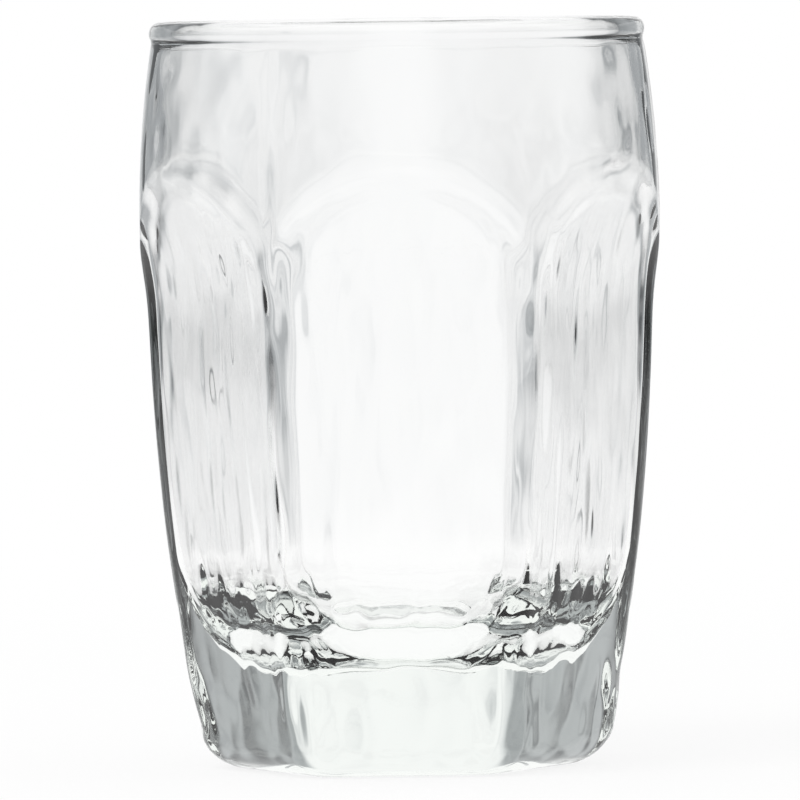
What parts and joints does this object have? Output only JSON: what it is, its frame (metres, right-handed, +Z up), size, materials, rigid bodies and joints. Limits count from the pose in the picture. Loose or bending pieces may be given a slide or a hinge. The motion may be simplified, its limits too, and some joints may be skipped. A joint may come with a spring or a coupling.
{
  "type": "juice glass",
  "caption": "Small clear pressed-glass tumbler: flat arched panels below a smooth round band, a rounded bead at the rim and a thick solid base.",
  "frame": {"origin": "middle of the foot, on the table that the glass stands on", "axes": "+Z up along the glass's axis to the rim; flat panels face -Y and +Y, and ridges between panels point along +X and -X"},
  "size_m": [0.0618, 0.0616, 0.0889],
  "materials": {
    "glass": "clear colourless soda-lime glass, fire polished"
  },
  "bodies": {
    "root": {"tumbler": "glass"}
  },
  "joints": []
}
